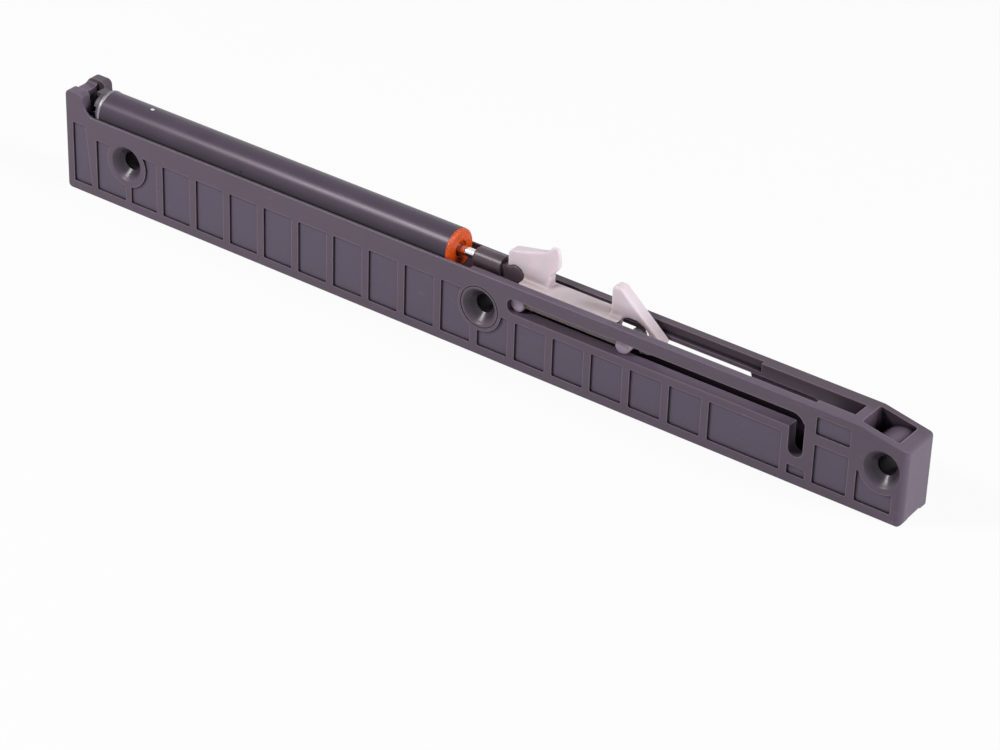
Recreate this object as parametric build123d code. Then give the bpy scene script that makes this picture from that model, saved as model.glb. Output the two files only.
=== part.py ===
from build123d import *
import os

# Drawer damper: a long moulded housing that screws flat to a cabinet side. An oil
# damper lies in a cradle along its left half and its rod meets a white catch, which
# slides to the right in two slots against a tension spring.
# X runs along the housing, the front face with the countersinks looks to -Y, the
# mounting face to +Y. Side views are drawn in X from the left end and Z from the base.
# The three screw holes set out the places along the housing, and the two faces and
# the top of the rail set out the rest.

# Screw holes
hole_pitch = 96.0
left_margin = 17.45
right_margin = 5.1
hole_z = 11.42
bore_radius = 2.1
sink_radius = 4.13
boss_radius = 5.5
hole_xs = [left_margin + i * hole_pitch for i in range(3)]
left_hole_x, middle_hole_x, right_hole_x = hole_xs
length = right_hole_x + right_margin

# Clearances
fit_gap = 0.08
pin_gap = 0.075
cut_over = 1.0

# Damper section
tube_radius = 4.37
tube_wall = 0.6
tube_bore = tube_radius - tube_wall
rim_proud = 0.13
cradle_wall = 0.55
cradle_radius = tube_radius + fit_gap
width = 2 * (cradle_radius + cradle_wall)

# Housing side view
rail_height = 19.33
end_drop = 2.18
end_slope = 11.0
ear_rise = 4.9
ear_length = 5.0
ear_wall = 2.5
saddle_depth = 1.25
ear_round = 1.3
ear_blend = 3.0
base_round = 1.0
tip_round = 1.0
end_round = 1.6
edge_round = 0.3
ear_top = rail_height + ear_rise

# Damper axis and its places along the housing
damper_y = width / 2
damper_z = rail_height + 0.51
end_wall = 2.85
end_gap = 3.0
plug_face = end_wall + end_gap + 0.7
plug_head = 2.2
rim_length = 0.75
rim_left = plug_face + plug_head - 0.25
rim_right = rim_left + rim_length
cap_face = middle_hole_x - 8.6
cap_lip = 0.9
tube_end = cap_face - cap_lip
cradle_end = cap_face + 5.7

# Walls of the catch channel
front_wall = 1.7
low_front_wall = 2.75
back_wall = 3.0
back_lip = 2.0
channel_back = width - back_wall
ledge_back = width - back_lip
ledge_z = rail_height - 2.03
rod_floor_z = rail_height - 2.83

# Ribs on the front face
panel_depth = 0.4
panel_floor = 2.2
panel_top = rail_height - 4.93
rib_pitch = 9.47
rib_width = 1.87
panel_round = 0.35
rim_rail = 2.0

# Track: a straight run that turns down into the parking leg
rail_web = 2.93
track_height = 3.45
leg_round = 3.0
track_top = rail_height - rail_web
track_bottom = track_top - track_height
track_half = track_height / 2
track_z = track_bottom + track_half
panel_top_under_track = track_bottom - 1.85
leg_floor_z = panel_floor + 4.3
leg_bottom_z = leg_floor_z + track_half
channel_left = middle_hole_x + sink_radius + 0.57
track_left = channel_left + 2.2 + track_half
leg_x = right_hole_x - 19.325
back_slot_end = leg_x - 17.575
pin_groove_depth = 1.15
ledge_end = back_slot_end + 4.5
thick_wall_left = leg_x + track_half + 1.1
pocket_left = right_hole_x - 6.1
pocket_rib = 2.2
channel_end = pocket_left - pocket_rib

# Catch
pin_spacing = 25.9
pin_radius = track_half - pin_gap
pin_inset = 1.1
rear_pin_reach = 1.0
front_pin_x = track_left + pin_gap
rear_pin_x = front_pin_x + pin_spacing
catch_front = front_wall + fit_gap
catch_back = channel_back - fit_gap
plate_thickness = 2.82
plate_back = catch_back - 0.5
plate_round = 0.35
ridge_round = 8.0
root_round = 0.8
plate_front = plate_back - plate_thickness
bar_bottom = track_z - 0.55
horn_bottom = track_z + 0.425
catch_top = rail_height + 0.17

# Rod and its end
rod_radius = 1.0
seal_gap = 0.03
stroke_gap = 0.05
knob_radius = 2.0
knob_proud = 0.15
knob_thickness = 2.6
knob_x = front_pin_x - 2.4
knob_front = plate_front - knob_proud
sleeve_radius = 2.15
sleeve_length = 7.0
sleeve_left = knob_x - 10.6
sleeve_right = sleeve_left + sleeve_length
rod_grip = 2.8

# Tension spring, its groove and the peg that anchors it
coil_outer = 1.85
wire_radius = 0.3
wire_set_in = 0.05
coil_inner = coil_outer - 2 * (wire_radius + wire_set_in)
groove_gap = 0.25
groove_radius = coil_outer + groove_gap
coil_mean = (coil_outer + coil_inner) / 2
spring_y = catch_front + 2.82
spring_z = 4.0
hook_z = spring_z + coil_mean
low_channel_z = spring_z - groove_radius
peg_x = end_wall + 1.45
peg_z = damper_z - 2.84
peg_radius = 0.6
lug_x = front_pin_x - 0.4
lug_half = 0.6
ring_loop = 1.2
spring_left = rim_right - 0.2
spring_right = lug_x - 8.2



def from_left(x):
    """Model X of a place given in millimetres from the left end."""
    return x - length / 2


def from_front(y):
    """Model Y of a depth given in millimetres behind the front face."""
    return y - width / 2


def across(side_view, front, back):
    """Prism of a side view between two depths behind the front face."""
    plane = Plane.XZ.offset(-from_front(back))
    return extrude(plane * Pos(-length / 2, 0) * side_view, back - front)


def side_face(*points):
    """Side view with straight sides through the points."""
    return make_face(Polyline(*points, close=True))


def side_disc(x, z, radius):
    return Pos(x, z) * Circle(radius)


def side_box(left, bottom, right, top):
    middle = Pos((left + right) / 2, (bottom + top) / 2)
    return middle * Rectangle(right - left, top - bottom)


def side_slot(left, right, z, half):
    """Side view of a level slot with round ends."""
    return (
        side_box(left, z - half, right, z + half)
        + side_disc(left, z, half)
        + side_disc(right, z, half)
    )


def block(left, right, front, back, bottom, top):
    return across(side_box(left, bottom, right, top), front, back)


def lengthwise(start, end, radius, y=damper_y, z=damper_z):
    """Round bar along X between two places."""
    place = Pos(from_left(start), from_front(y), z) * Rot(0, 90, 0)
    return place * Cylinder(radius, end - start, align=(Align.CENTER, Align.CENTER, Align.MIN))


def turned(*stations):
    """Solid turned about the damper's axis from corners given as (x, radius)."""
    profile = Plane.XZ * side_face(*stations)
    place = Pos(-length / 2, from_front(damper_y), damper_z)
    return place * revolve(profile, Axis.X)


def turned_ring(left, right, inner, outer):
    return turned((left, inner), (right, inner), (right, outer), (left, outer))


def round_corner(view, x, z, radius):
    """Rounds the corner of a side view that lies nearest to a place."""
    corner = view.vertices().sort_by_distance((x, z, 0))[0]
    return fillet(corner, radius)


# Housing

def housing_outline():
    """Side view of the housing: long rail, raised ear at the left, sloping right end."""
    end_height = rail_height - end_drop
    outline = side_face(
        (0, 0),
        (length, 0),
        (length, end_height),
        (length - end_slope, rail_height),
        (ear_length, rail_height),
        (ear_length, ear_top),
        (0, ear_top),
    )
    blend = min(ear_blend, 0.95 * (ear_rise - ear_round))
    outline = round_corner(outline, 0, 0, base_round)
    outline = round_corner(outline, length, 0, base_round)
    outline = round_corner(outline, length, end_height, tip_round)
    outline = round_corner(outline, 0, ear_top, ear_round)
    outline = round_corner(outline, ear_length, ear_top, ear_round)
    return round_corner(outline, ear_length, rail_height, blend)


def housing_block():
    """Outer body with softened long edges and a rounded right end."""
    body = across(housing_outline(), 0, width)
    rim = [e for e in body.edges() if abs(abs(e.center().Y) - width / 2) < edge_round / 10]
    body = fillet(rim, edge_round)
    plan = Rectangle(length, width)
    plan = fillet(plan.vertices().group_by(Axis.X)[-1].sort_by(Axis.Y)[0], end_round)
    return body & extrude(plan, ear_top + cut_over)


def panel_views():
    """Side views of the shallow front recesses that the moulded ribs leave between them."""
    slant = 1.6
    tall_edge = panel_top + 2.4
    first_left = left_hole_x + boss_radius + 4.9
    views = [
        side_face(
            (rim_rail, panel_floor),
            (left_hole_x - 10.3, panel_floor),
            (left_hole_x - 10.3 - slant, tall_edge),
            (rim_rail, tall_edge),
        ),
        side_box(left_hole_x - 8.7, panel_floor, left_hole_x - 0.45, panel_top),
        side_box(left_hole_x + 1.2, panel_floor, first_left - rib_width, panel_top),
    ]
    wide_right = leg_x - track_half - 1.65
    count = int((wide_right - first_left) / rib_pitch) - 1
    for i in range(count):
        left = first_left + i * rib_pitch
        under_track = left > middle_hole_x - rib_width
        top = panel_top_under_track if under_track else panel_top
        views.append(side_box(left, panel_floor, left + rib_pitch - rib_width, top))
    wide_left = first_left + count * rib_pitch
    views.append(side_box(wide_left, panel_floor, wide_right, panel_top_under_track))
    leg_bottom = leg_bottom_z - track_half
    views.append(
        side_box(leg_x - 1.6, panel_floor, leg_x + 2.5, leg_bottom - 2.2)
    )
    right_left = leg_x + track_half + 2.5
    right_end = right_hole_x - boss_radius - 1.9
    views.append(side_box(right_left, panel_floor, right_end, panel_top_under_track))
    views.append(side_box(right_left, track_z - 1.25, right_end, track_top + 1.1))
    last_left = right_hole_x - boss_radius
    views.append(
        side_face(
            (last_left, panel_floor),
            (length - 2.5, panel_floor),
            (length - 2.5, panel_floor + 4.2),
            (last_left, panel_floor + 7.2),
        )
    )
    return views


def recessed_panels():
    """Cutters of the recesses, kept clear of the round bosses at the screw holes."""
    cutters = []
    for view in panel_views():
        view = fillet(view.vertices(), panel_round)
        for x in hole_xs:
            view = view - side_disc(x, hole_z, boss_radius)
        cutters.append(across(view, -cut_over, panel_depth))
    return cutters


def front_track():
    """Straight run to the right that turns down into the parking leg."""
    right = leg_x + track_half
    run = side_box(track_left, track_bottom, right, track_top)
    run = round_corner(run, right, track_top, leg_round)
    leg = side_box(leg_x - track_half, leg_bottom_z, right, track_z)
    ends = side_disc(track_left, track_z, track_half) + side_disc(leg_x, leg_bottom_z, track_half)
    return run + leg + ends


def track_cuts():
    """The catch channel inside the housing and the slots through its two walls."""
    top = rail_height + cut_over
    rod_left = cradle_end - cut_over
    back_track = side_slot(track_left, back_slot_end, track_z, track_half)
    back = channel_back
    return [
        block(rod_left, channel_left, front_wall, back, rod_floor_z, top),
        block(channel_left, thick_wall_left, front_wall, back, track_bottom, top),
        block(thick_wall_left, channel_end, low_front_wall, back, track_bottom, top),
        block(rod_left, ledge_end, back, ledge_back, ledge_z, top),
        block(channel_left, channel_end, low_front_wall, back, low_channel_z, track_bottom),
        across(front_track(), -cut_over, low_front_wall),
        across(back_track, back, width + cut_over),
        across(front_track(), back - cut_over, back + pin_groove_depth),
    ]


def cradle_cuts():
    """Round bed of the damper, the gap at its left end and the saddle between the ears."""
    gap_right = end_wall + end_gap
    top = ear_top + cut_over
    bed_left = gap_right - 0.6
    bed = lengthwise(bed_left, cradle_end, cradle_radius)
    rim_radius = tube_radius + rim_proud + fit_gap
    rim_bed = lengthwise(rim_left - 0.2, rim_right + 0.2, rim_radius)
    half = cradle_radius
    above = block(bed_left, cradle_end, damper_y - half, damper_y + half, damper_z, top)
    gap_floor = damper_z - 5.84
    gap = block(end_wall, gap_right, ear_wall, width - ear_wall, gap_floor, top)
    saddle_z = ear_top - saddle_depth
    saddle = Box(
        2 * ear_length,
        width - 2 * ear_wall,
        top - saddle_z,
        align=(Align.CENTER, Align.CENTER, Align.MIN),
    )
    saddle = fillet(saddle.edges().filter_by(Axis.X).group_by(Axis.Z)[0], 0.9 * saddle_depth)
    return [bed, rim_bed, above, gap, Pos(from_left(0), 0, saddle_z) * saddle]


def spring_cuts():
    """Groove for the spring, open to the underside, and the well its hook rises through."""
    start = end_wall + 1.7
    bore = lengthwise(start, channel_left + cut_over, groove_radius, spring_y, spring_z)
    front = spring_y - groove_radius
    back = spring_y + groove_radius
    opening = block(start, channel_left, front, back, -cut_over, spring_z)
    well = block(
        end_wall, end_wall + end_gap, spring_y - 1.0, spring_y + 1.0, low_channel_z, peg_z
    )
    return [bore, opening, well]


def screw_hole(x):
    """Through bore with a ninety degree countersink in the front face."""
    sink_depth = sink_radius - bore_radius
    bore = across(side_disc(x, hole_z, bore_radius), -cut_over, width + cut_over)
    sink = Cone(bore_radius, sink_radius, sink_depth)
    sink = Pos(from_left(x), from_front(sink_depth / 2), hole_z) * Rot(90, 0, 0) * sink
    return bore + sink


def end_pocket():
    """Open pocket over the last screw boss, whose round tube stands in it."""
    wall = 1.5
    right = length - 2.7
    pocket = block(
        pocket_left, right, wall, width - wall, hole_z - 2.4, rail_height + cut_over
    )
    pocket = fillet(pocket.edges().filter_by(Axis.Z), 0.6)
    return pocket - across(side_disc(right_hole_x, hole_z, boss_radius), 0, width)


def base_recess():
    """Long shallow recess in the underside that leaves a rail at front and back."""
    front_rail = 1.3
    back_rail = width - 1.5
    depth = 1.1
    profile = Polyline(
        (front_rail, -cut_over),
        (front_rail, 0),
        (front_rail + 1.9, 0.9),
        (back_rail - 0.8, depth),
        (back_rail, 0),
        (back_rail, -cut_over),
        close=True,
    )
    face = Plane.YZ.offset(-length) * Pos(-width / 2, 0) * make_face(profile)
    return extrude(face, 2 * length)


def make_housing():
    body = housing_block()
    for cut in cradle_cuts() + track_cuts() + spring_cuts() + recessed_panels():
        body = body - cut
    for x in hole_xs:
        body = body - screw_hole(x)
    body = body - end_pocket() - base_recess()
    ring_outer = sink_radius + 0.72
    ring_inner = ring_outer - 0.3
    ring = side_disc(middle_hole_x, hole_z, ring_outer) - side_disc(middle_hole_x, hole_z, ring_inner)
    body = body - across(ring, -cut_over, 0.15)
    peg = across(side_disc(peg_x, peg_z, peg_radius), 2.0, width - 2.0)
    return body + peg


# Damper

spigot_radius = tube_bore - 0.05
spigot_end = rim_left + 5.8
plug_groove_left = rim_left + 2.0
plug_groove_right = plug_groove_left + 1.4
cap_spigot_left = tube_end - 5.7
washer_right = cap_spigot_left - 0.05
washer_left = washer_right - 1.2
seal_right = washer_left - 0.05
seal_left = seal_right - 2.9
foam_right = seal_left - 0.1
foam_left = foam_right - 9.0
piston_left = spigot_end + 2.0
piston_length = 4.0
piston_right = piston_left + piston_length
disc_left = piston_right + 0.05
disc_right = disc_left + 0.9
rod_neck = rod_radius - 0.3
rod_neck_gap = 0.03
clip_groove_left = piston_left - 0.8
clip_groove_right = piston_left - 0.3
rod_left_end = piston_left - 1.2


def make_tube():
    return turned_ring(rim_right, tube_end, tube_bore, tube_radius)


def make_end_ring():
    """Bright rolled rim that holds the plug in the tube."""
    ring = turned_ring(rim_left, rim_right, tube_bore, tube_radius + rim_proud)
    outer = ring.edges().filter_by(GeomType.CIRCLE).filter_by(lambda e: e.radius > tube_radius)
    return fillet(outer, 0.2)


def make_end_plug():
    """Plug with a turned head, a seal groove and a flat tongue on its top."""
    head_radius = tube_bore + 0.2
    groove = spigot_radius - 0.7
    chamfer_size = 0.6
    plug = turned(
        (plug_face, 0),
        (spigot_end, 0),
        (spigot_end, spigot_radius),
        (plug_groove_right, spigot_radius),
        (plug_groove_right, groove),
        (plug_groove_left, groove),
        (plug_groove_left, spigot_radius),
        (rim_left, spigot_radius),
        (rim_left, head_radius),
        (plug_face + chamfer_size, head_radius),
        (plug_face, head_radius - chamfer_size),
    )
    tongue_bottom = damper_z + 2.76
    tongue_half = 1.25
    tongue = block(
        plug_face - 1.1,
        rim_left,
        damper_y + 0.6 - tongue_half,
        damper_y + 0.6 + tongue_half,
        tongue_bottom,
        tongue_bottom + 0.9,
    )
    notch = block(
        plug_face - 1.0,
        plug_face + 1.2,
        damper_y - tube_radius,
        damper_y - 2.15,
        damper_z - 1.84,
        damper_z + 1.86,
    )
    return plug - notch + tongue


def make_o_ring():
    """Rubber ring in the plug's groove."""
    section = 0.36
    middle = (plug_groove_left + plug_groove_right) / 2
    ring = Torus(tube_bore - section - 0.03, section)
    return Pos(from_left(middle), from_front(damper_y), damper_z) * Rot(0, 90, 0) * ring


def make_foam():
    """Foam sleeve that gives way to the oil the rod pushes aside."""
    return turned_ring(foam_left, foam_right, rod_radius + 0.25, tube_bore - 0.1)


def make_seal():
    """Lip seal round the rod."""
    lip = rod_radius + seal_gap
    outer = tube_bore - 0.03
    skirt_depth = 1.5
    return turned(
        (seal_left, lip),
        (seal_right, lip),
        (seal_right, outer),
        (seal_left, outer),
        (seal_left, outer - 0.7),
        (seal_left + skirt_depth, outer - 1.1),
        (seal_left + skirt_depth, lip + 0.95),
        (seal_left, lip + 0.45),
    )


def make_washer():
    return turned_ring(washer_left, washer_right, rod_radius + 0.2, tube_bore - 0.03)


def make_cap():
    """Rod guide pressed into the open end of the tube, dished round the rod."""
    guide = rod_radius + seal_gap
    spigot = tube_bore - 0.02
    rim = tube_radius - 0.05
    seat = tube_end + 0.02
    dish = 0.4
    return turned(
        (cap_spigot_left, guide),
        (cap_face - dish, guide),
        (cap_face - dish, guide + 0.65),
        (cap_face, guide + 0.85),
        (cap_face, rim - 0.4),
        (cap_face - 0.4, rim),
        (seat, rim),
        (seat, spigot),
        (cap_spigot_left, spigot),
    )


def make_rod():
    """Polished rod with a thinner left end that carries the piston."""
    right_end = sleeve_left + rod_grip
    shoulder = disc_right + 0.05
    groove = rod_neck - 0.25
    return turned(
        (rod_left_end, 0),
        (right_end, 0),
        (right_end, rod_radius),
        (shoulder, rod_radius),
        (shoulder, rod_neck),
        (clip_groove_right, rod_neck),
        (clip_groove_right, groove),
        (clip_groove_left, groove),
        (clip_groove_left, rod_neck),
        (rod_left_end, rod_neck),
    )


def make_piston():
    """Piston with a ring groove and four oil passages."""
    skirt = tube_bore - stroke_gap
    groove = skirt - 0.8
    hub = rod_neck + rod_neck_gap
    land = 1.4
    body = turned(
        (piston_left, hub),
        (piston_right, hub),
        (piston_right, skirt),
        (piston_right - land + 0.2, skirt),
        (piston_right - land + 0.2, groove),
        (piston_left + land, groove),
        (piston_left + land, skirt),
        (piston_left, skirt),
    )
    passage_radius = 0.3
    passage_place = (hub + groove) / 2
    for i in range(4):
        passage = lengthwise(piston_left - 1, piston_right + 1, passage_radius, damper_y, 0)
        turn = Pos(0, from_front(damper_y), damper_z) * Rot(90 * i, 0, 0)
        body = body - turn * Pos(0, 0, passage_place) * passage
    return body


def make_piston_ring():
    left = piston_left + 1.5
    outer = tube_bore - 0.02
    return turned_ring(left, left + 1.2, outer - 0.7, outer)


def make_valve_disc():
    """Thin disc that closes the passages on the way back."""
    return turned_ring(disc_left, disc_right, rod_neck + rod_neck_gap, tube_bore - 1.05)


def make_piston_clip():
    """Spring clip in the rod's end groove."""
    play = 0.05
    inner = rod_neck - 0.25 + rod_neck_gap
    return turned_ring(clip_groove_left + play, clip_groove_right - play, inner, inner + 1.12)


def make_rod_end():
    """Sleeve on the rod with a flat arm and a round knob that the catch holds."""
    chamfer_size = 0.3
    sleeve = turned(
        (sleeve_left, 0),
        (sleeve_right, 0),
        (sleeve_right, sleeve_radius),
        (sleeve_left + chamfer_size, sleeve_radius),
        (sleeve_left, sleeve_radius - chamfer_size),
    )
    arm_half = 1.15
    arm = block(
        sleeve_right - 2.0,
        knob_x,
        knob_front + 0.1,
        knob_front + knob_thickness - 0.1,
        damper_z - arm_half,
        damper_z + arm_half,
    )
    knob = across(side_disc(knob_x, damper_z, knob_radius), knob_front, knob_front + knob_thickness)
    knob = fillet(knob.edges(), 0.45)
    socket = lengthwise(sleeve_left - 1, sleeve_left + rod_grip + 0.05, rod_radius)
    return sleeve + arm + knob - socket


# Catch

def knob_socket():
    return side_disc(knob_x, damper_z, knob_radius + fit_gap)


def catch_post():
    """Left horn: a nosed plate with the knob's socket, faceted towards the striker gap."""
    left = front_pin_x - 4.35
    right = front_pin_x + 5.7
    foot_left = front_pin_x - 1.7
    shoulder = rail_height + 2.6
    nose_x = front_pin_x + 7.2
    view = side_face(
        (left, rail_height + 2.1),
        (left, rail_height + 5.6),
        (front_pin_x + 2.7, rail_height + 7.1),
        (front_pin_x + 4.3, rail_height + 7.55),
        (front_pin_x + 5.1, rail_height + 8.67),
        (front_pin_x + 6.5, rail_height + 8.67),
        (nose_x, rail_height + 6.6),
        (nose_x, rail_height + 4.6),
        (right, shoulder),
        (right, horn_bottom + 0.2),
        (foot_left, horn_bottom + 0.2),
        (foot_left, rail_height - 0.3),
        (knob_x, rail_height + 1.3),
    )
    view = round_corner(view, left, rail_height + 5.6, 1.0)
    view = round_corner(view, front_pin_x + 4.3, rail_height + 7.55, 0.8)
    view = round_corner(view, front_pin_x + 5.1, rail_height + 8.67, 0.6)
    view = round_corner(view, front_pin_x + 6.5, rail_height + 8.67, 0.6)
    view = round_corner(view, nose_x, rail_height + 6.6, 1.2)
    view = round_corner(view, nose_x, rail_height + 4.6, 0.8)
    return across(view - knob_socket(), plate_front, plate_back)


def post_facet():
    """Plane that slants the post's front back towards the nose."""
    low = Vector(from_left(front_pin_x + 4.6), from_front(plate_front), rail_height + 1.1)
    high = Vector(from_left(front_pin_x + 1.4), from_front(plate_front), rail_height + 3.8)
    deep = Vector(from_left(front_pin_x + 7.2), from_front(plate_front + 1.4), rail_height + 5.1)
    outward = (deep - low).cross(high - low)
    if outward.Y > 0:
        outward = outward * -1
    return Plane(origin=low, z_dir=outward)


def faceted_post():
    """Left horn with its slanting front face, a soft ridge and soft back edges."""
    facet = post_facet()
    post = split(catch_post(), bisect_by=facet, keep=Keep.BOTTOM)
    front = from_front(plate_front)
    ridge = [
        e
        for e in post.edges()
        if abs(e.center().Y - front) < 0.01
        and abs((e.center() - facet.origin).dot(facet.z_dir)) < 0.01
    ]
    post = fillet(ridge, ridge_round)
    back = from_front(plate_back)
    rim = [
        e for e in post.edges()
        if abs(e.center().Y - back) < 0.01 and e.center().Z > rail_height + 3.2
    ]
    return fillet(rim, plate_round)


def arch_hollow():
    """Side view of the round hollow under the right horn, above the rear pin."""
    disc = side_disc(rear_pin_x + 0.7, track_z + 1.02, 4.5)
    below = side_box(rear_pin_x - 9, track_z - 5, rear_pin_x + 9, horn_bottom - 0.05)
    return disc - below


def soften(plate):
    """Takes the sharpness off the front and back edges of a plate above the rail."""
    middle = from_front((plate_front + plate_back) / 2)
    rim = [
        e
        for e in plate.edges()
        if abs(abs(e.center().Y - middle) - plate_thickness / 2) < 0.01
        and e.center().Z > rail_height + 2
    ]
    return fillet(rim, plate_round)


def catch_horn():
    """Right horn: sprung arch whose ramp lets a striker snap back in from the right."""
    left = rear_pin_x - 4.75
    view = side_face(
        (left, rail_height - 0.3),
        (left, rail_height + 6.7),
        (rear_pin_x - 2.6, rail_height + 6.7),
        (rear_pin_x + 8.0, rail_height - 2.4),
        (rear_pin_x + 6.4, track_z - 0.6),
        (rear_pin_x + 4.9, track_z - 1.3),
        (rear_pin_x + 2.7, track_z - 1.55),
        (rear_pin_x + 2.0, track_z - 0.8),
        (rear_pin_x + 2.3, horn_bottom),
        (rear_pin_x - 3.8, horn_bottom),
    )
    view = round_corner(view, left, rail_height + 6.7, 0.9)
    view = round_corner(view, rear_pin_x - 2.6, rail_height + 6.7, 1.0)
    view = round_corner(view, rear_pin_x + 8.0, rail_height - 2.4, 0.5)
    horn = across(view - arch_hollow(), plate_front, plate_back)
    return soften(horn)


def root_blend(left, right):
    """Hollow curve between the bar's top and the front of a plate that stands on it."""
    front = plate_front - root_round
    top = catch_top + root_round
    corner = block(left, right, front, plate_front + 0.1, catch_top - 0.1, top)
    return corner - lengthwise(left - 1, right + 1, root_round, front, top)


def make_catch():
    """One moulding: bar, two horns, guide pins and the lug that holds the spring."""
    bar_left = front_pin_x - 1.0
    bar_right = rear_pin_x - 1.8
    bar = block(bar_left, bar_right, catch_front, catch_back, bar_bottom, catch_top)
    blends = root_blend(bar_left, front_pin_x + 5.7) + root_blend(rear_pin_x - 4.75, bar_right)
    bar = bar + blends - across(arch_hollow() + knob_socket(), 0, width)
    body = bar + faceted_post() + catch_horn()
    link = block(
        rear_pin_x - 5.5, rear_pin_x + 1.2, plate_front, plate_back, track_z - 1.2, horn_bottom
    )
    front_pin = across(
        side_disc(front_pin_x, track_z, pin_radius), pin_inset, width - pin_inset
    )
    rear_pin_back = channel_back + rear_pin_reach
    rear_pin = across(side_disc(rear_pin_x, track_z, pin_radius), pin_inset, rear_pin_back)
    lug = block(
        lug_x - 1.4,
        lug_x + 1.4,
        spring_y - lug_half,
        spring_y + lug_half,
        hook_z - 1.5,
        bar_bottom + 1.0,
    )
    eye = across(side_disc(lug_x, hook_z, 2 * wire_radius), 0, width)
    return body + link + front_pin + rear_pin + lug - eye


# Tension spring

def make_spring():
    """Close wound body with a long hook over the housing peg and a ring in the lug."""
    body = lengthwise(spring_left, spring_right, coil_outer, spring_y, spring_z)
    bore = lengthwise(spring_left, spring_right, coil_inner, spring_y, spring_z)
    loop_radius = peg_radius + wire_radius + 0.1
    rise_x = peg_x + loop_radius
    rise = FilletPolyline(
        (spring_left + 0.5, hook_z), (rise_x, hook_z), (rise_x, peg_z), radius=0.9
    )
    over = CenterArc((peg_x, peg_z), loop_radius, 0, 200)
    plane = Plane.XZ.offset(-from_front(spring_y))
    path = plane * Pos(-length / 2, 0) * Wire(rise.edges() + over.edges())
    section = Plane(origin=path @ 0, z_dir=path % 0) * Circle(wire_radius)
    hook = sweep(section, path=path)
    lead_end = lug_x - 2 * ring_loop + 0.1
    lead = lengthwise(spring_right - 0.5, lead_end, wire_radius, spring_y, hook_z)
    place = Pos(from_left(lug_x - ring_loop), from_front(spring_y), hook_z)
    return body - bore + hook + lead + place * Torus(ring_loop, wire_radius)


nodes = {
    "housing": make_housing,
    "damper_tube": make_tube,
    "tube_end_ring": make_end_ring,
    "tube_end_plug": make_end_plug,
    "plug_o_ring": make_o_ring,
    "compensator_foam": make_foam,
    "rod_seal": make_seal,
    "seal_washer": make_washer,
    "front_cap": make_cap,
    "piston_rod": make_rod,
    "piston": make_piston,
    "piston_ring": make_piston_ring,
    "valve_disc": make_valve_disc,
    "piston_clip": make_piston_clip,
    "rod_end": make_rod_end,
    "catch": make_catch,
    "tension_spring": make_spring,
}

os.makedirs("parts", exist_ok=True)
for name, build_node in nodes.items():
    export_step(build_node(), f"parts/{name}.step")
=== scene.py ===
import math
import bpy
from mathutils import Matrix, Vector


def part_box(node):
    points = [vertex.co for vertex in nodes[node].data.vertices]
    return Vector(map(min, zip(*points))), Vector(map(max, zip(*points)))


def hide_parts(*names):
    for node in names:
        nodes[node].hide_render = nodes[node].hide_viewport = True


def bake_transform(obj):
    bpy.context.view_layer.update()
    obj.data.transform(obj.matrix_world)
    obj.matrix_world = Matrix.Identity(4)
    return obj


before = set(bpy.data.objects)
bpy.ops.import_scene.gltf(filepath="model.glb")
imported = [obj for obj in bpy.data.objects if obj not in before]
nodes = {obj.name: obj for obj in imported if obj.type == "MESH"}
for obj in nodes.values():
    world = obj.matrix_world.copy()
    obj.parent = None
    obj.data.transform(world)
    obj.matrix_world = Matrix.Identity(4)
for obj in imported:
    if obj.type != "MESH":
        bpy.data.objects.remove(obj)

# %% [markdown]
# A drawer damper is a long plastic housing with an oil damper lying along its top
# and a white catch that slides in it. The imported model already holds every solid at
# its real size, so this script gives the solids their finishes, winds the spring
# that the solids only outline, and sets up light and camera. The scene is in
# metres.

MM = 0.001
scene = bpy.context.scene
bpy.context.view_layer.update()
print("nodes:", sorted(nodes))

# %% [markdown]
# Shader maths reads best as plain Python sums. A small class wraps one socket, and
# its operators add Math nodes, so that `1 - mask * 0.4` works in a finish. Numbers
# alone are worked out in Python. Colours are mixed with Mix nodes, because a Math
# node would turn them grey.

# %% Sockets as values
class Value:
    """One output socket with arithmetic."""

    def __init__(self, graph, socket):
        self.graph = graph
        self.socket = socket

    def maths(self, operation, *others):
        settings = {"operation": operation}
        return self.graph.node("Math", settings, [self, *others])

    def __add__(self, other):
        return self.maths("ADD", other)

    def __sub__(self, other):
        return self.maths("SUBTRACT", other)

    def __mul__(self, other):
        return self.maths("MULTIPLY", other)

    def __rsub__(self, other):
        return self * -1 + other

    __radd__ = __add__
    __rmul__ = __mul__


# %% [markdown]
# Every other node comes from one method, which takes the node's type, the settings
# that are made first, and the values or links of its sockets. The same method serves
# the materials and the sky.

# %% One way to make a node
def find_socket(sockets, key):
    """Socket by its identifier, or by its name with _ for a space."""
    for socket in sockets:
        if key == socket.identifier or key.replace("_", " ") == socket.name:
            return socket
    raise KeyError(key)


class Graph:
    """A tree of shader nodes."""

    def __init__(self, tree):
        self.tree = tree

    def feed(self, node, sockets):
        """Links values to sockets, or writes constants on the sockets themselves."""
        if isinstance(sockets, dict):
            pairs = [(find_socket(node.inputs, key), item) for key, item in sockets.items()]
        else:
            pairs = list(zip(node.inputs, sockets))
        for socket, item in pairs:
            if isinstance(item, Value):
                self.tree.links.new(item.socket, socket)
            else:
                socket.default_value = item

    def node(self, kind, settings=None, sockets=None, output=0):
        """Makes a node and returns one of its outputs, by number or by name."""
        made = self.tree.nodes.new("ShaderNode" + kind)
        for key, setting in (settings or {}).items():
            setattr(made, key, setting)
        self.feed(made, sockets or {})
        if isinstance(output, str):
            return Value(self, find_socket(made.outputs, output))
        return Value(self, made.outputs[output])


# %% [markdown]
# A finish is a material with one Principled shader. What is the same all over a
# surface is set on the shader's own socket. What changes over it feeds only colour,
# roughness and bump, because those can be exported with the object.

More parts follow.
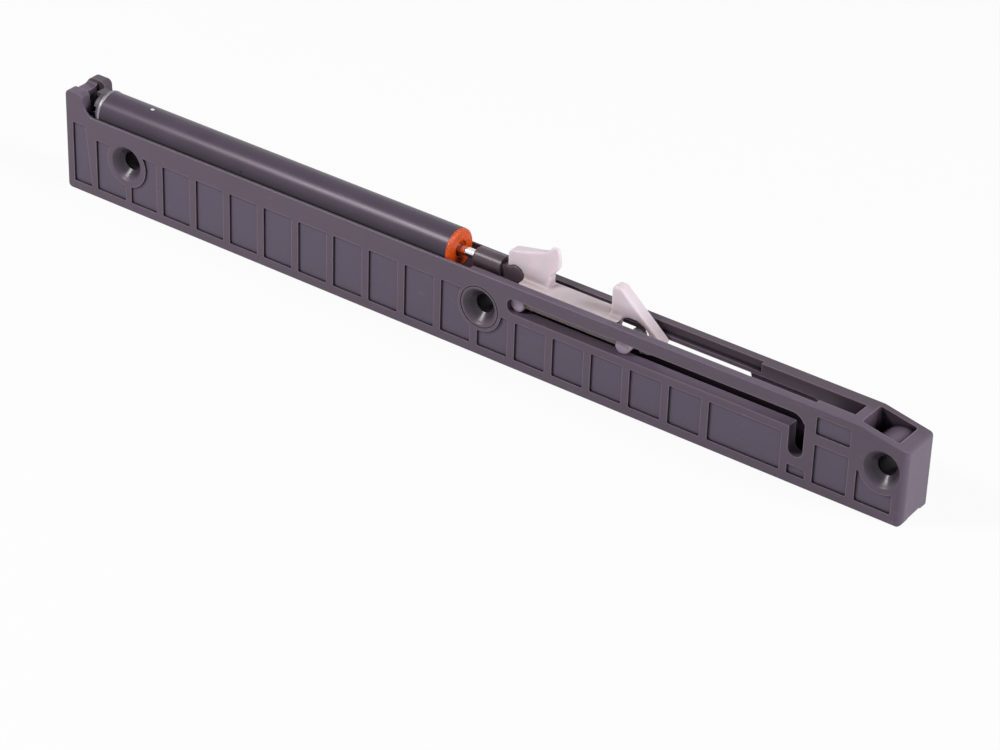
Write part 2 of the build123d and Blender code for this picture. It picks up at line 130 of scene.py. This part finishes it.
# %% Finishes
class Finish(Graph):
    """A material under construction, with one Principled shader."""

    def __init__(self, name, **constants):
        self.material = bpy.data.materials.new(name)
        self.material.use_nodes = True
        super().__init__(self.material.node_tree)
        self.shader = self.tree.nodes["Principled BSDF"]
        self.feed(self.shader, constants)

    def done(self, **sockets):
        """Feeds the Principled shader and hands the material over."""
        self.feed(self.shader, sockets)
        return self.material


def dress(material, *names):
    """Puts the material on those solids, in place of what they had."""
    for name in names:
        nodes[name].data.materials.clear()
        nodes[name].data.materials.append(material)
    print(material.name, "on", ", ".join(names))


# %% [markdown]
# The surfaces of a moulded or drawn part vary in a few ways: soft clouds of tone,
# a fine grain, and a few marks. Noise in the object's own coordinates gives them
# all, and a stretched copy of the coordinates gives grain that runs one way.

# %% Surface patterns
ALL_WAYS = (1, 1, 1)
CORE_SHARE = 0.7


def place(finish, stretch=ALL_WAYS):
    """Place on the object as a vector, stretched where a factor is below 1."""
    spot = finish.node("TexCoord", output="Object")
    return finish.node("Mapping", sockets={"Vector": spot, "Scale": stretch})


def coordinate(finish, axis):
    """Place on one axis of the object, in metres."""
    spot = finish.node("TexCoord", output="Object")
    return finish.node("SeparateXYZ", sockets=[spot], output=axis)


def noise(finish, size, detail=3, stretch=ALL_WAYS):
    """Noise from 0 to 1 whose features are about that many metres wide."""
    sockets = {"Vector": place(finish, stretch), "Scale": 1 / size, "Detail": detail}
    return finish.node("TexNoise", sockets=sockets, output="Fac")


def rise(finish, value, low, high):
    """0 at low, 1 at high, and a straight rise between. Low may be the larger."""
    sockets = {"Value": value, "From_Min": low, "From_Max": high}
    return finish.node("MapRange", sockets=sockets)


def mark(finish, point, radius, stretch=ALL_WAYS):
    """1 in the core of a round mark at a place in millimetres, 0 outside the mark."""
    centre = [c * MM * s for c, s in zip(point, stretch)]
    sockets = [place(finish, stretch), centre]
    gap = finish.node("VectorMath", {"operation": "DISTANCE"}, sockets, "Value")
    return rise(finish, gap, radius * MM, CORE_SHARE * radius * MM)


def bump(finish, height, depth):
    """Normal from a height between 0 and 1 that stands for depth metres."""
    sockets = {"Height": height, "Distance": depth}
    return finish.node("Bump", sockets=sockets, output="Normal")


# %% [markdown]
# Shade falls where a spot is shut in, and outer edges catch light and wear smooth,
# so painted shade and painted highlights follow these places. An Ambient Occlusion
# node tells how far a spot is shut in by its own solid, which finds corners and
# slots. Turned inward, the same node finds the outer edges.

# %% Corners and edges
OCCLUSION_RAYS = 8


def hollow(finish, reach, inside=False):
    """0 on an open face, 0.5 in a square corner and near 1 deep in a slot."""
    settings = {"inside": inside, "only_local": True, "samples": OCCLUSION_RAYS}
    return 1 - finish.node("AmbientOcclusion", settings, {"Distance": reach}, "AO")


def edge(finish, reach):
    """0 on a face and about 0.5 on its outer edges, because it looks inward."""
    return hollow(finish, reach, inside=True)


# %% [markdown]
# Colours are easiest to judge as a screen shows them, but a shader adds up light, so
# they are turned into linear values first. A body colour is a mix of two tones, and
# dirt, wear, marks, painted shade and painted highlights lie over it in coats, each
# with a mask of its own.

# %% Colours in coats
def screen(red, green, blue):
    """Linear colour from the 0 to 255 values of a screen, along the sRGB curve."""
    linear = []
    for value in (red / 255, green / 255, blue / 255):
        linear.append(value / 12.92 if value <= 0.04045 else ((value + 0.055) / 1.055) ** 2.4)
    return (*linear, 1)


def tint(finish, amount, first, second):
    """Colour between two colours."""
    sockets = {"Factor_Float": amount, "A_Color": first, "B_Color": second}
    return finish.node("Mix", {"data_type": "RGBA"}, sockets, "Result_Color")


def coats(finish, body, *layers):
    """Lays each pair of an amount and a colour over the ones before it."""
    for amount, color in layers:
        body = tint(finish, amount, body, color)
    return body


WHITE = (1, 1, 1, 1)
print("a mid grey of 128 is", round(screen(128, 128, 128)[0], 3), "in linear light")

# %% [markdown]
# The housing's features are told apart by where they lie. The sunk panels lie at one
# depth behind the front face, so a mask on the depth finds them without painting. The
# three countersinks stand at one height, 96 mm apart, and round marks find them.

# %% Places on the housing
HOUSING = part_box("housing")
FRONT_FACE = HOUSING[0][1]
PANEL_DEPTH = 0.4 * MM
CONE_DEPTHS = (FRONT_FACE + 3 * MM, FRONT_FACE + 2.5 * MM)
HOLE_EDGE = 17.45
HOLE_PITCH = 96
HOLE_Z = 11.42
HOLE_XS = [HOUSING[0][0] / MM + HOLE_EDGE + i * HOLE_PITCH for i in range(3)]
CONE_RADIUS = 4.2
BORE_RADIUS = 2.2
print("screw holes at x in mm:", [round(x, 3) for x in HOLE_XS])


def panels(finish, depth):
    """1 on the floor of the sunk panels, 0 elsewhere."""
    steps = [FRONT_FACE + share * PANEL_DEPTH for share in (0.6, 0.8, 1.2, 1.4)]
    return rise(finish, depth, *steps[:2]) - rise(finish, depth, *steps[2:])


def holes(finish, radius):
    """A round mark for each screw hole, which runs through from front to back."""
    return [mark(finish, (x, 0, HOLE_Z), radius, (1, 0, 1)) for x in HOLE_XS]


# %% [markdown]
# The housing is one moulding in a dark purple grey plastic. Its mould was satin on
# the ribs and a little duller on the sunk panels between them, and handling has left
# faint scuffs. The steel pins that formed the countersinks were polished, so those
# cones are glossier, and painted shade makes them darker. Outer edges are a little
# smoother and painted pale as a highlight. Painted shade darkens the corners, the
# slots and the screw bores, the middle bore least. The upper back part, with the
# rail behind the catch, is painted darker and browner.

# %% Housing plastic
DARK_PLUM = screen(90, 78, 93)
PLUM = screen(102, 90, 106)
SATIN_PANEL = screen(96, 88, 108)
SCUFF = screen(150, 140, 150)
CONE_SHADE = screen(36, 28, 39)
BORE_SHADE = screen(14, 12, 15)
BACK_BROWN = screen(64, 50, 58)
CORNER_SHADE = screen(24, 19, 25)
SLOT_SHADE = screen(6, 5, 6)
DEEP_SHADE = screen(8, 6, 8)
EDGE_HIGHLIGHT = screen(178, 160, 172)


def housing_plastic():
    finish = Finish("housing_plastic", Specular_IOR_Level=0.3)
    clouds = noise(finish, 18 * MM, detail=4)
    flow = noise(finish, 2.5 * MM, detail=3, stretch=(0.2, 1, 1))
    grain = noise(finish, 0.22 * MM, detail=2)
    streaks = noise(finish, 1.2 * MM, detail=6, stretch=(0.3, 1, 1))
    depth = coordinate(finish, "Y")
    panel = panels(finish, depth)
    cones = holes(finish, CONE_RADIUS)
    cone_gloss_and_shade = (cones[0] + cones[1] + cones[2]) * rise(finish, depth, *CONE_DEPTHS)
    bores = holes(finish, BORE_RADIUS)
    bore_shade = bores[0] + bores[1] * 0.3 + bores[2]
    back_rail = rise(finish, depth, 0.5 * MM, 2.5 * MM)
    top = rise(finish, coordinate(finish, "Z"), 16.5 * MM, 18.5 * MM)
    corner = hollow(finish, 2.4 * MM)
    deep = hollow(finish, 6 * MM)
    edge_wear_and_highlight = rise(finish, edge(finish, 0.36 * MM), 0.12, 0.45)
    body = coats(
        finish,
        tint(finish, clouds * 0.6 + flow * 0.4, DARK_PLUM, PLUM),
        (panel * 0.6, SATIN_PANEL),
        (rise(finish, streaks, 0.66, 0.74) * 0.18, SCUFF),
        # polished countersink cones: glossier, and painted darker as shade
        (cone_gloss_and_shade * 0.7, CONE_SHADE),
        # painted shade in the screw bores, less in the middle one
        (bore_shade * 0.95, BORE_SHADE),
        # the upper back part is painted darker and browner
        (back_rail * top * 0.55, BACK_BROWN),
        # painted shade: corners, slots and deep slots darkened where the solid shuts them in
        (rise(finish, corner, 0.12, 0.56) * 0.88, CORNER_SHADE),
        (rise(finish, corner, 0.38, 0.64) * 0.88, SLOT_SHADE),
        (rise(finish, deep, 0.42, 0.72) * 0.8, DEEP_SHADE),
        # painted highlight: outer edges painted pale, and made a little smoother in roughness
        (edge_wear_and_highlight * 0.32, EDGE_HIGHLIGHT),
    )
    rough = clouds * 0.06 + grain * 0.08 + panel * 0.1 + 0.34 - cone_gloss_and_shade * 0.14 - edge_wear_and_highlight * 0.06
    relief = bump(finish, grain, 0.012 * MM)
    return finish.done(Base_Color=body, Roughness=rough, Normal=relief)


dress(housing_plastic(), "housing")

# %% [markdown]
# The damper's tube is drawn aluminium with a dark satin coat. Drawing leaves very
# fine lines along it, and the coat shows a few pale specks. One larger chip near the
# left end and one dark pit have places of their own. Where the tube sits down into
# its bed, painted shade darkens it.

# %% Tube coat
DARK_COAT = screen(68, 58, 72)
COAT = screen(81, 71, 86)
BED_SHADE = screen(20, 16, 20)
SPECK = screen(160, 154, 160)
CHIP = screen(244, 240, 242)
PIT = screen(22, 20, 24)
CHIP_AT = (-86.1, -0.15, 24.2)
PIT_AT = (-57.7, -4.34, 20.4)


def tube_coat():
    finish = Finish("tube_coat", Metallic=0.1, Specular_IOR_Level=0.22)
    lines = noise(finish, 0.3 * MM, detail=2, stretch=(0.02, 1, 1))
    clouds = noise(finish, 9 * MM, detail=4)
    seat_shade = rise(finish, coordinate(finish, "Z"), 21.6 * MM, 19.2 * MM)
    specks = rise(finish, noise(finish, 0.9 * MM, detail=5), 0.74, 0.78)
    body = coats(
        finish,
        tint(finish, clouds, DARK_COAT, COAT),
        # painted shade where the tube sits down into its bed
        (seat_shade * 0.9, BED_SHADE),
        (specks * 0.5, SPECK),
        (mark(finish, CHIP_AT, 0.4, (0.7, 1, 1)), CHIP),
        (mark(finish, PIT_AT, 0.3) * 0.9, PIT),
    )
    rough = lines * 0.08 + clouds * 0.08 + 0.24
    return finish.done(Base_Color=body, Roughness=rough, Normal=bump(finish, lines, 0.003 * MM))


dress(tube_coat(), "damper_tube")

# %% [markdown]
# The tube's left end is rolled over the plug, which rubs the coat off and leaves a
# bright rim. The plug behind it is a dull grey plastic with a worked face.

# %% Rim and plug
def bright_rim():
    finish = Finish("bright_rim", Metallic=0.8)
    rub = noise(finish, 0.5 * MM, detail=4)
    body = tint(finish, rub, screen(78, 72, 80), screen(176, 166, 176))
    return finish.done(Base_Color=body, Roughness=rub * 0.25 + 0.3)


def plug_plastic():
    finish = Finish("plug_plastic", Specular_IOR_Level=0.4, Roughness=0.42)
    clouds = noise(finish, 1.5 * MM, detail=4)
    body = tint(finish, clouds, screen(58, 55, 63), screen(88, 85, 95))
    return finish.done(Base_Color=body, Normal=bump(finish, clouds, 0.05 * MM))


dress(bright_rim(), "tube_end_ring")
dress(plug_plastic(), "tube_end_plug", "piston")

# %% [markdown]
# The rod guide is a pressed-in cap of orange plastic. Its face is rough and a bit
# waxy, so it has clear dents, small pits and patches of gloss. A darker dish is painted
# round the rod's hole, marked out from the rod's own axis.

# %% Orange cap
DEEP_ORANGE = screen(176, 50, 2)
ORANGE = screen(240, 98, 20)
PITTED = screen(110, 30, 4)
DARK_DISH = screen(88, 24, 6)
DISH_RADIUS = 1.9
ROD_AXIS = [(a + b) / 2 / MM for a, b in zip(*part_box("piston_rod"))]


def orange_plastic():
    finish = Finish(
        "orange_plastic",
        Specular_IOR_Level=0.35,
        Subsurface_Weight=0.05,
        Subsurface_Scale=0.4 * MM,
    )
    dents = noise(finish, 0.5 * MM, detail=4)
    clouds = noise(finish, 1.6 * MM, detail=2)
    pits = rise(finish, noise(finish, 0.35 * MM, detail=2), 0.36, 0.28)
    dish = mark(finish, ROD_AXIS, DISH_RADIUS, (0, 1, 1))
    body = coats(
        finish,
        tint(finish, dents, DEEP_ORANGE, ORANGE),
        (pits * 0.6, PITTED),
        # a darker dish painted round the rod's hole
        (dish * (clouds * 0.4 + 0.5), DARK_DISH),
    )
    rough = clouds * 0.3 + 0.2
    return finish.done(Base_Color=body, Roughness=rough, Normal=bump(finish, dents, 0.16 * MM))


dress(orange_plastic(), "front_cap")

# %% [markdown]
# The rod is ground and polished steel, so it mirrors what is round it. The sleeve
# that joins it to the catch is a smooth dark plastic.

# %% Rod and connector
def polished_steel():
    finish = Finish("polished_steel", Metallic=1.0)
    lines = noise(finish, 0.2 * MM, detail=2, stretch=(1, 0.05, 0.05))
    body = tint(finish, lines, screen(214, 210, 216), screen(236, 232, 238))
    return finish.done(Base_Color=body, Roughness=lines * 0.06 + 0.08)


def connector_plastic():
    finish = Finish("connector_plastic", Specular_IOR_Level=0.3)
    clouds = noise(finish, 2.5 * MM, detail=4)
    grain = noise(finish, 0.2 * MM, detail=2)
    body = tint(finish, clouds, screen(76, 64, 72), screen(92, 80, 88))
    rough = clouds * 0.12 + 0.28
    return finish.done(Base_Color=body, Roughness=rough, Normal=bump(finish, grain, 0.006 * MM))


dress(polished_steel(), "piston_rod")
dress(connector_plastic(), "rod_end")

# %% [markdown]
# The catch is an unfilled white plastic. Light goes a millimetre or two into it, so
# edges glow and shadows stay soft. Subsurface scattering does this, with a radius in
# real millimetres. Low down, the dark channel round it keeps light away, so painted
# shade makes the plastic greyer towards its root, in its creases, and on the flank
# and the pins that lie inside the housing's slot.

# %% Catch plastic
WARM_MILK = screen(224, 211, 219)
MILK = screen(238, 227, 234)
ROOT_SHADE = screen(158, 142, 140)
CREASE_SHADE = screen(128, 108, 102)
FLANK_SHADE = screen(84, 76, 74)
PIN_SHADE = screen(160, 148, 172)
ROOT_FROM, ROOT_TO = 23.6 * MM, 18.8 * MM
SLOT_FROM, SLOT_TO = 18.8 * MM, 18.2 * MM


def milky_plastic():
    finish = Finish(
        "milky_plastic",
        Specular_IOR_Level=0.4,
        Subsurface_Weight=0.8,
        Subsurface_Radius=(1.0, 0.85, 0.8),
        Subsurface_Scale=1.6 * MM,
    )
    clouds = noise(finish, 4 * MM, detail=3)
    grain = noise(finish, 0.25 * MM, detail=2)
    height = coordinate(finish, "Z")
    root = rise(finish, height + clouds * 0.8 * MM, ROOT_FROM, ROOT_TO)
    crease = rise(finish, hollow(finish, 3 * MM), 0.1, 0.55)
    low = rise(finish, height, SLOT_FROM, SLOT_TO)
    flank = rise(finish, coordinate(finish, "Y"), -3.7 * MM, -3.4 * MM)
    under_bar = rise(finish, coordinate(finish, "X"), 43.0 * MM, 41.5 * MM)
    body = coats(
        finish,
        tint(finish, clouds, WARM_MILK, MILK),
        # painted shade, greyer towards the root
        (root * 0.6, ROOT_SHADE),
        # painted shade in the catch's creases
        (crease * 0.6, CREASE_SHADE),
        # painted shade on the flank inside the housing's slot
        (low * flank * under_bar * 0.6, FLANK_SHADE),
        # painted shade on the pins that lie in the housing's slot
        (low * (1 - flank) * 0.7, PIN_SHADE),
    )
    rough = clouds * 0.1 + 0.34
    return finish.done(Base_Color=body, Roughness=rough, Normal=bump(finish, grain, 0.01 * MM))


dress(milky_plastic(), "catch", "piston_ring")

# %% [markdown]
# A real moulding has no sharp edges, and scattered light would show them. Two
# modifiers round the catch without moving its faces: a voxel remesh gives it an even
# skin of small faces, and a few passes of smoothing wear only its edges down.

# %% Rounded catch
def soften(node, step, passes):
    """Rounds a solid's edges a little."""
    skin = nodes[node].modifiers.new("even_skin", "REMESH")
    skin.mode = "VOXEL"
    skin.voxel_size = step
    skin.use_smooth_shade = True
    rounding = nodes[node].modifiers.new("rounding", "SMOOTH")
    rounding.factor = 0.5
    rounding.iterations = passes
    print(node, "softened with faces of", round(step / MM, 3), "mm")


soften("catch", step=0.2 * MM, passes=4)

# %% [markdown]
# The pieces inside the tube are never seen when it is closed, but the model keeps
# them, so they get plain true finishes: rubber, foam and sheet steel.

# %% Inner pieces
def black_rubber():
    finish = Finish("black_rubber")
    bloom = noise(finish, 0.8 * MM, detail=4)
    body = tint(finish, bloom, screen(26, 26, 27), screen(44, 44, 46))
    return finish.done(Base_Color=body, Roughness=bloom * 0.2 + 0.6)


def foam():
    finish = Finish("foam", Roughness=0.9)
    cells = noise(finish, 0.35 * MM, detail=2)
    body = tint(finish, cells, screen(70, 70, 72), screen(104, 104, 106))
    return finish.done(Base_Color=body, Normal=bump(finish, cells, 0.15 * MM))


def steel():
    finish = Finish("steel", Metallic=1.0)
    lines = noise(finish, 0.15 * MM, detail=3, stretch=(1, 0.1, 1))
    body = tint(finish, lines, screen(170, 170, 174), screen(202, 202, 206))
    return finish.done(Base_Color=body, Roughness=lines * 0.15 + 0.25)


dress(black_rubber(), "plug_o_ring", "rod_seal")
dress(foam(), "compensator_foam")
dress(steel(), "seal_washer", "valve_disc", "piston_clip")

# %% [markdown]
# The tension spring is wound close from thin steel wire, with a long hook over the
# housing's peg at the left and a ring in the catch's lug at the right. The solid
# stands in as a plain tube, so the real winding is made here. The wire's path is a
# list of points: arcs for the hook, its bend and the ring, and a fine helix between
# them, which is only a loop over its angle.

# %% Path of the spring's wire
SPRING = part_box("tension_spring")
WIRE = 0.3 * MM
COIL_MEAN = 1.5 * MM
AXIS_Y = (SPRING[0][1] + SPRING[1][1]) / 2
AXIS_Z = SPRING[0][2] + COIL_MEAN + WIRE + 0.05 * MM
HOOK_Z = AXIS_Z + COIL_MEAN
HOOK_RADIUS = 1.0 * MM
HOOK_SHANK = 5.2 * MM
HOOK_RISE = 2 * MM
BEND_RADIUS = 0.9 * MM
RING_RADIUS = 1.2 * MM
RING_SHANK = 7.3 * MM
PEG = (SPRING[0][0] + HOOK_RADIUS + WIRE + 0.1 * MM, SPRING[1][2] - HOOK_RADIUS - WIRE)
RING = (SPRING[1][0] - RING_RADIUS - WIRE, HOOK_Z)
COIL_LEFT = PEG[0] + HOOK_SHANK
COIL_RIGHT = RING[0] - RING_SHANK
COIL_LENGTH = COIL_RIGHT - COIL_LEFT
TURNS = round(COIL_LENGTH / (2 * WIRE))
STEPS = 14


def arc(centre, radius, start, stop, count):
    """Points along an arc in the spring's upright plane, between two angles."""
    points = []
    for i in range(count + 1):
        angle = math.radians(start + (stop - start) * i / count)
        across = centre[0] + radius * math.cos(angle)
        points.append((across, AXIS_Y, centre[1] + radius * math.sin(angle)))
    return points


def coil():
    """Points along the close turns of the spring."""
    points = []
    for i in range(TURNS * STEPS + 1):
        angle = 2 * math.pi * i / STEPS
        along = COIL_LEFT + COIL_LENGTH * i / (TURNS * STEPS)
        aside = AXIS_Y + COIL_MEAN * math.sin(angle)
        points.append((along, aside, AXIS_Z + COIL_MEAN * math.cos(angle)))
    return points


def spring_points():
    shank_x = PEG[0] + HOOK_RADIUS
    bend = (shank_x + BEND_RADIUS, HOOK_Z + BEND_RADIUS)
    return [
        *arc(PEG, HOOK_RADIUS, start=200, stop=0, count=12),
        (shank_x, AXIS_Y, HOOK_Z + HOOK_RISE),
        *arc(bend, BEND_RADIUS, start=180, stop=270, count=4),
        *coil(),
        *arc(RING, RING_RADIUS, start=180, stop=-180, count=24),
    ]


print("spring turns:", TURNS)

# %% [markdown]
# A curve with a round section follows the points, and it becomes a mesh. The
# spring is hardly seen, so it wears the plain steel that came with the imported model.

# %% Wound spring
def add(name, data):
    """New object in the scene."""
    made = bpy.data.objects.new(name, data)
    scene.collection.objects.link(made)
    return made


def wire_mesh(name, points, radius):
    """Mesh tube along the points."""
    curve = bpy.data.curves.new(name, "CURVE")
    curve.dimensions = "3D"
    curve.bevel_depth = radius
    curve.bevel_resolution = 1
    curve.use_fill_caps = True
    spline = curve.splines.new("POLY")
    spline.points.add(len(points) - 1)
    for point, spot in zip(spline.points, points):
        point.co = (*spot, 1)
    holder = bpy.data.objects.new(name + "_path", curve)
    mesh = bpy.data.meshes.new_from_object(holder)
    bpy.data.objects.remove(holder)
    for face in mesh.polygons:
        face.use_smooth = True
    return add(name, mesh)


spring = wire_mesh("wound_spring", spring_points(), WIRE)
spring.data.materials.clear()
spring.data.materials.append(bpy.data.materials["steel"])
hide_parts("tension_spring")
RING[0] - RING_RADIUS
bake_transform(spring)
print("spring faces:", len(spring.data.polygons))

# %% [markdown]
# The studio is a wide pale floor in an even, faint sky. The camera sees both as plain
# white, and so do mirrors, through Light Path. The floor glows for them only in part,
# so what is left of its own lit surface still shows the object's shadow.

# %% Floor
FLOOR_GREY = (0.82, 0.82, 0.82, 1)
GLOW_SHARE = 0.92
FLOOR_Z = -0.02 * MM


def seen_directly(graph):
    """1 for rays from the camera, mirrors and glass."""
    camera_ray = graph.node("LightPath", output="Is Camera Ray")
    light_path = camera_ray.socket.node
    glossy = Value(graph, light_path.outputs["Is Glossy Ray"])
    through = Value(graph, light_path.outputs["Is Transmission Ray"])
    return camera_ray.maths("MAXIMUM", glossy).maths("MAXIMUM", through)


def floor_white():
    finish = Finish("floor_white", Base_Color=FLOOR_GREY, Roughness=0.9)
    glow = finish.node("Emission", sockets={"Color": WHITE, "Strength": 1.0})
    lit = Value(finish, finish.shader.outputs[0])
    share = seen_directly(finish) * GLOW_SHARE
    mixed = finish.node("MixShader", sockets=[share, lit, glow])
    finish.feed(finish.tree.nodes["Material Output"], {"Surface": mixed})
    return finish.material


def floor(size):
    """A square sheet just under the object, so that no faces touch."""
    mesh = bpy.data.meshes.new("floor")
    half = size / 2
    corners = [(-half, -half, 0), (half, -half, 0), (half, half, 0), (-half, half, 0)]
    mesh.from_pydata(corners, [], [(0, 1, 2, 3)])
    mesh.materials.append(floor_white())
    made = add("floor", mesh)
    made.location.z = FLOOR_Z
    print("floor:", size, "m wide")


floor(size=6.0)

# %% [markdown]
# The sky lights the object faintly and evenly, which keeps the shadows open. Its
# strength is that faint one for the rays that light things, and 1 for those that see
# it directly, so that the background comes out white.

# %% Sky
def sky(ambient):
    """Even light at a strength of its own, seen as plain white."""
    world = bpy.data.worlds.new("sky")
    scene.world = world
    world.use_nodes = True
    graph = Graph(world.node_tree)
    sockets = {"Value": seen_directly(graph), "To_Min": ambient}
    strength = graph.node("MapRange", sockets=sockets)
    graph.feed(graph.tree.nodes["Background"], {"Color": WHITE, "Strength": strength})
    print("sky strength:", ambient)


sky(ambient=0.12)

# %% [markdown]
# Two lamps do the work. A small key lamp stands close, in front and to the left, so
# that it draws the narrow line of light along the tube, the bright streak at the foot
# of each countersink and the thin shadows of the ribs, and the left end is lighter
# than the right. A large soft lamp at the right lights the end face and the catch.

# %% Lamps
def side(azimuth, elevation):
    """Direction from the object: 0 is the front, 90 the right, 90 up the top."""
    turn, tilt = math.radians(azimuth), math.radians(elevation)
    level = math.cos(tilt)
    return Vector((math.sin(turn) * level, -math.cos(turn) * level, math.sin(tilt)))


def lamp(name, azimuth, elevation, distance, size, watts, color):
    """Area lamp that looks at the object from that side."""
    light = bpy.data.lights.new(name, "AREA")
    light.shape = "RECTANGLE"
    light.size, light.size_y = size
    light.energy = watts
    light.color = color
    away = side(azimuth, elevation)
    made = add(name, light)
    made.location = away * distance
    made.rotation_euler = away.to_track_quat("Z", "Y").to_euler()
    print(name, "at", [round(c, 2) for c in made.location])


lamp(
    "key_lamp",
    azimuth=-43,
    elevation=44,
    distance=0.62,
    size=(0.14, 0.14),
    watts=2.3,
    color=(1.0, 0.97, 0.95),
)
lamp(
    "right_lamp",
    azimuth=98,
    elevation=30,
    distance=1.0,
    size=(0.4, 0.5),
    watts=8.0,
    color=(0.98, 0.97, 1.0),
)

# %% [markdown]
# The camera looks down on the object from the right and the front. Its place is
# worked out from the direction of view, the point it aims at and the distance, and
# it is rolled by two degrees. A long lens keeps the far end nearly as large as the
# near one.

# %% Camera
VIEW_AZIMUTH = 35.257
VIEW_ELEVATION = 31.995
VIEW_ROLL = 2.022
AIM = Vector((8.69 * MM, -0.25 * MM, -6.304 * MM))
DISTANCE = 717.38 * MM
LENS = 124.08


def camera():
    data = bpy.data.cameras.new("camera")
    data.lens = LENS
    data.sensor_width = 36
    data.clip_start = 0.01
    data.clip_end = 50
    away = side(VIEW_AZIMUTH, VIEW_ELEVATION)
    level = away.to_track_quat("Z", "Y").to_matrix().to_4x4()
    roll = Matrix.Rotation(math.radians(VIEW_ROLL), 4, "Z")
    made = add("camera", data)
    made.matrix_world = Matrix.Translation(AIM + away * DISTANCE) @ level @ roll
    scene.camera = made
    print("camera at", [round(c, 4) for c in made.matrix_world.translation])


camera()

# %% [markdown]
# Colours are shown as they are, with no film look.

# %% Finish
scene.view_settings.view_transform = "Standard"
bpy.context.view_layer.update()
